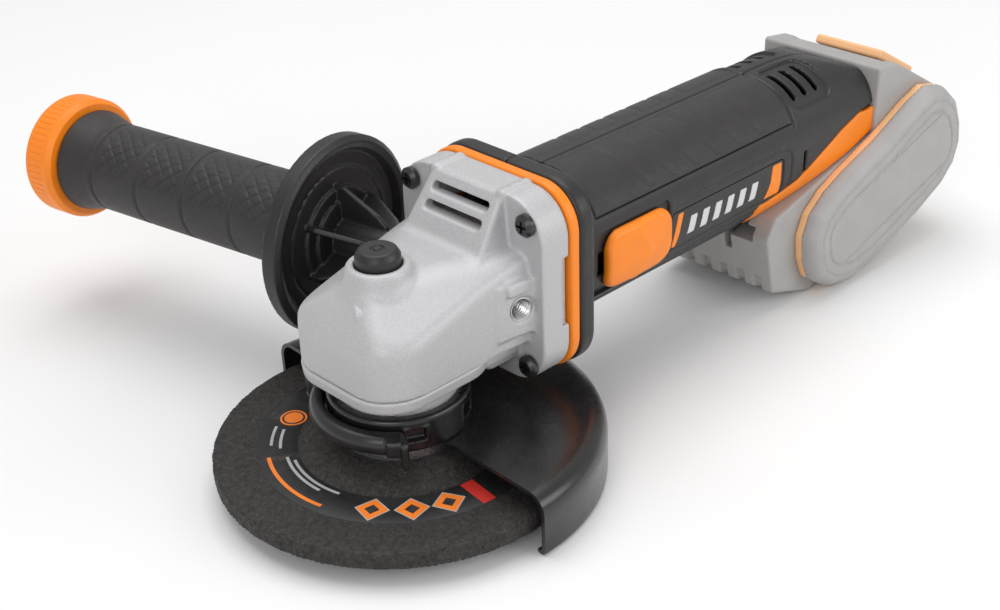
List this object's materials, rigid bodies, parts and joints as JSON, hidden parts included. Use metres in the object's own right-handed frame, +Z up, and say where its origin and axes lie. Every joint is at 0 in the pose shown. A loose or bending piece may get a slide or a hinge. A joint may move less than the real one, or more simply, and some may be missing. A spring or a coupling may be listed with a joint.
{
  "type": "angle grinder",
  "caption": "Cordless angle grinder: cast bevel-gear head with guarded grinding wheel, slide switch, slim motor handle, slide-off battery pack and screw-in side handle.",
  "frame": {"origin": "free lower end of the output spindle, on its axis", "axes": "+Z up the spindle to the lock button, +X back along the motor and handle to the battery, +Y to the side handle"},
  "size_m": [0.3437, 0.2658, 0.0945],
  "materials": {
    "cast_alloy": "sand-cast satin",
    "guard_paint": "semi-gloss black",
    "bright_steel": "machined",
    "blackened_steel": "blackened screw",
    "gear_steel": "ground",
    "copper": "bare copper alloy",
    "abrasive": "resin-bonded grit",
    "dark_plastic": "fine grain",
    "soft_rubber": "soft matt",
    "orange_plastic": "satin",
    "magnet": "sintered",
    "motor_steel": "zinc-plated sheet",
    "cell_can": "sleeved",
    "board_green": "lacquered",
    "pack_grey": "fine grain",
    "pack_peach": "satin"
  },
  "bodies": {
    "tool": {"gear_case": "cast_alloy", "gear_case_cover": "cast_alloy", "cover_screws": "bright_steel", "gear_case_screws": "blackened_steel", "spindle_bearing": "bright_steel", "spindle_bush": "copper", "motor_front_bearing": "bright_steel", "motor_rear_bearing": "bright_steel", "motor_can": "motor_steel", "motor_magnets": "magnet", "motor_end_bell": "dark_plastic", "carbon_brushes": "magnet", "right_shell": "dark_plastic", "left_shell": "dark_plastic", "right_soft_grip": "soft_rubber", "left_soft_grip": "soft_rubber", "right_side_plate": "dark_plastic", "left_side_plate": "dark_plastic", "right_trim": "orange_plastic", "left_trim": "orange_plastic", "front_ring": "orange_plastic", "shell_screws": "blackened_steel", "switch_unit": "dark_plastic", "controller_board": "board_green", "terminal_block": "dark_plastic", "terminal_blades": "copper", "lock_spring": "bright_steel"},
    "output": {"spindle": "bright_steel", "inner_flange": "bright_steel", "grinding_wheel": "abrasive", "flange_nut": "bright_steel", "crown_gear": "gear_steel"},
    "rotor": {"motor_shaft": "bright_steel", "armature": "motor_steel", "commutator": "copper", "cooling_fan": "dark_plastic", "pinion_gear": "gear_steel"},
    "lock": {"lock_button": "dark_plastic", "lock_pin": "bright_steel"},
    "guard": {"wheel_guard": "guard_paint", "guard_clamp": "guard_paint", "lever_pin": "bright_steel"},
    "lever": {"guard_lever": "guard_paint"},
    "switch": {"switch_button": "orange_plastic", "switch_rod": "bright_steel"},
    "battery": {"battery_case": "pack_grey", "right_battery_band": "pack_peach", "left_battery_band": "pack_peach", "right_battery_cheek": "pack_grey", "left_battery_cheek": "pack_grey", "battery_cells": "cell_can", "battery_contacts": "copper"},
    "release": {"battery_button": "pack_peach"},
    "side_handle": {"handle_stud": "bright_steel", "hand_guard": "dark_plastic", "side_grip": "soft_rubber", "handle_cap": "orange_plastic"}
  },
  "joints": [
    {"name": "spindle_spin", "type": "hinge", "parent": "tool", "child": "output", "pos_m": [0, 0, 0], "axis": [0, 0, 1], "continuous": true},
    {"name": "rotor_spin", "type": "hinge", "parent": "tool", "child": "rotor", "pos_m": [0, 0, 0.0585], "axis": [1, 0, 0], "continuous": true},
    {"name": "spindle_lock", "type": "slide", "parent": "tool", "child": "lock", "axis": [0, 0, -1], "range_m": [0, 0.003], "stiffness_N_per_m": 500, "springref_m": -0.004, "deforming": ["lock_spring"]},
    {"name": "guard_turn", "type": "hinge", "parent": "tool", "child": "guard", "pos_m": [0, 0, 0], "axis": [0, 0, 1], "range_deg": [-60, 60]},
    {"name": "clamp_lever", "type": "hinge", "parent": "guard", "child": "lever", "pos_m": [-0.01124, 0.02782, 0.02], "axis": [0, 0, -1], "range_deg": [0, 75]},
    {"name": "switch_slide", "type": "slide", "parent": "tool", "child": "switch", "axis": [-1, 0, 0], "range_m": [0, 0.008]},
    {"name": "battery_slide", "type": "slide", "parent": "tool", "child": "battery", "axis": [0.9659, 0, 0.2588], "range_m": [0, 0.065]},
    {"name": "battery_release", "type": "slide", "parent": "battery", "child": "release", "axis": [-0.5, 0, -0.866], "range_m": [0, 0.003], "stiffness_N_per_m": 500, "springref_m": -0.004},
    {"name": "side_handle_turn", "type": "hinge", "parent": "tool", "child": "side_handle", "pos_m": [0.0301, 0.028, 0.056], "axis": [-0.1822, 0.9833, 0], "range_deg": [0, 360]}
  ],
  "couplings": [
    {"joint": "rotor_spin", "follows": "spindle_spin", "ratio": 3}
  ]
}
